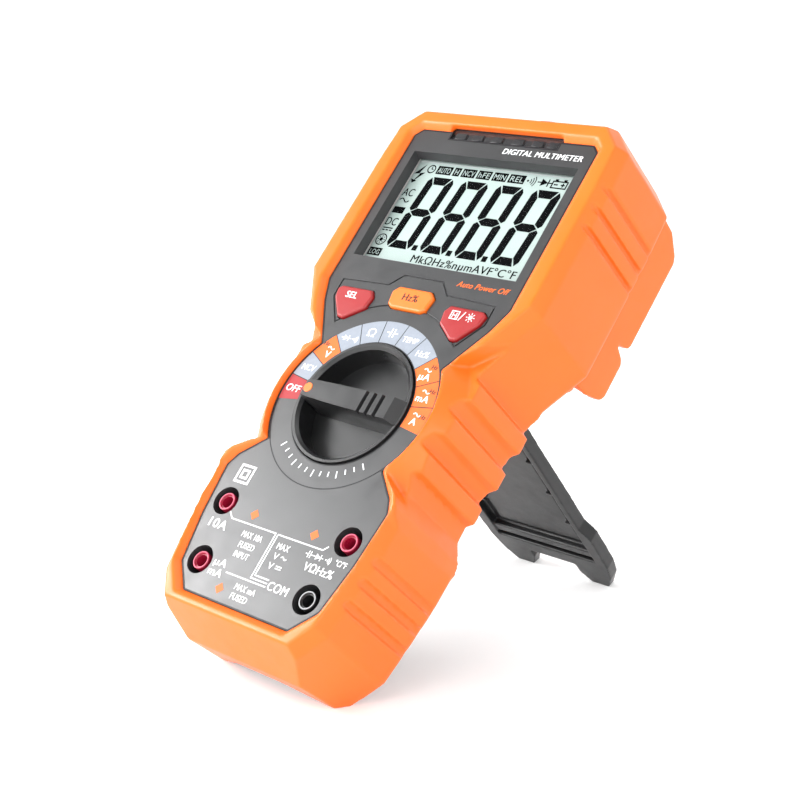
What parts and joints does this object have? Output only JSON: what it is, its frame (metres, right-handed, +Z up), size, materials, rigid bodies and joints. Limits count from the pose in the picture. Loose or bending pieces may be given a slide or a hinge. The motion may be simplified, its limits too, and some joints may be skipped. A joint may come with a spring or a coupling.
{
  "type": "digital multimeter",
  "caption": "Handheld digital multimeter with rotary selector, display and input jacks, in an elastomer holster, standing on its open kickstand.",
  "frame": {"origin": "centre of the footprint box on the bench top", "axes": "+Z up, the panel faces -Y and tilts back, +X to the right of the panel"},
  "size_m": [0.0956, 0.1726, 0.1671],
  "materials": {
    "holster_rubber": "soft satin, moulded",
    "case_plastic": "fine spark-eroded texture",
    "knob_plastic": "satin",
    "stand_plastic": "satin",
    "button_red": "satin",
    "button_orange": "satin",
    "smoked_lens": "polished",
    "clear_lens": "clear, polished",
    "lcd_face": "pale green-grey",
    "white_plastic": "plain",
    "lamp_resin": "clear resin",
    "contact_rubber": "plain",
    "circuit_board": "solder mask",
    "chip_resin": "plain",
    "steel": "bright",
    "brass": "turned",
    "jack_red": "plain",
    "jack_black": "plain",
    "fuse_glass": "glazed",
    "cell_sleeve": "printed film"
  },
  "bodies": {
    "case": {"protective_holster": "holster_rubber", "probe_clip_left": "holster_rubber", "probe_clip_right": "holster_rubber", "front_case": "case_plastic", "indicator_strip": "smoked_lens", "indicator_lamps": "lamp_resin", "sensor_window": "smoked_lens", "lcd_lens": "clear_lens", "lcd_bezel": "white_plastic", "lcd_glass": "lcd_face", "backlight_panel": "white_plastic", "zebra_strip": "contact_rubber", "detent_ring": "white_plastic", "tact_switches": "chip_resin", "main_pcb": "circuit_board", "pcb_screws": "steel", "measuring_chips": "chip_resin", "buzzer": "chip_resin", "fuse_10a": "fuse_glass", "fuse_ma": "fuse_glass", "fuse_clips": "steel", "current_shunt": "steel", "rear_case": "case_plastic", "battery_cover": "case_plastic", "battery_cover_screw": "steel", "case_screws": "steel", "battery_plates": "steel", "battery_springs": "steel", "stand_pin": "steel", "jack_post_10a": "jack_red", "jack_post_ma": "jack_red", "jack_post_volt": "jack_red", "jack_post_com": "jack_black", "jack_contact_10a": "brass", "jack_contact_ma": "brass", "jack_contact_volt": "brass", "jack_contact_com": "brass", "battery_cell_1": "cell_sleeve", "battery_cell_2": "cell_sleeve", "battery_cell_3": "cell_sleeve", "battery_cell_4": "cell_sleeve"},
    "knob": {"selector_knob": "knob_plastic", "pointer_insert": "button_orange", "contact_carrier": "white_plastic", "wiper_contacts": "brass", "detent_balls": "steel", "retaining_clip": "steel"},
    "select_key": {"select_button": "button_red"},
    "frequency_key": {"frequency_button": "button_orange"},
    "hold_key": {"hold_button": "button_red"},
    "stand": {"kickstand": "stand_plastic"}
  },
  "joints": [
    {"name": "knob_turn", "type": "hinge", "parent": "case", "child": "knob", "pos_m": [0, -0.03067, 0.07953], "axis": [0, 0.7524, -0.6587], "range_deg": [0, 180]},
    {"name": "select_press", "type": "slide", "parent": "case", "child": "select_key", "axis": [0, 0.7524, -0.6587], "range_m": [0, 0.0009], "stiffness_N_per_m": 500},
    {"name": "frequency_press", "type": "slide", "parent": "case", "child": "frequency_key", "axis": [0, 0.7524, -0.6587], "range_m": [0, 0.0009], "stiffness_N_per_m": 500},
    {"name": "hold_press", "type": "slide", "parent": "case", "child": "hold_key", "axis": [0, 0.7524, -0.6587], "range_m": [0, 0.0009], "stiffness_N_per_m": 500},
    {"name": "stand_fold", "type": "hinge", "parent": "case", "child": "stand", "pos_m": [0, 0.01152, 0.07914], "axis": [-1, 0, 0], "range_deg": [0, 83.8]}
  ]
}
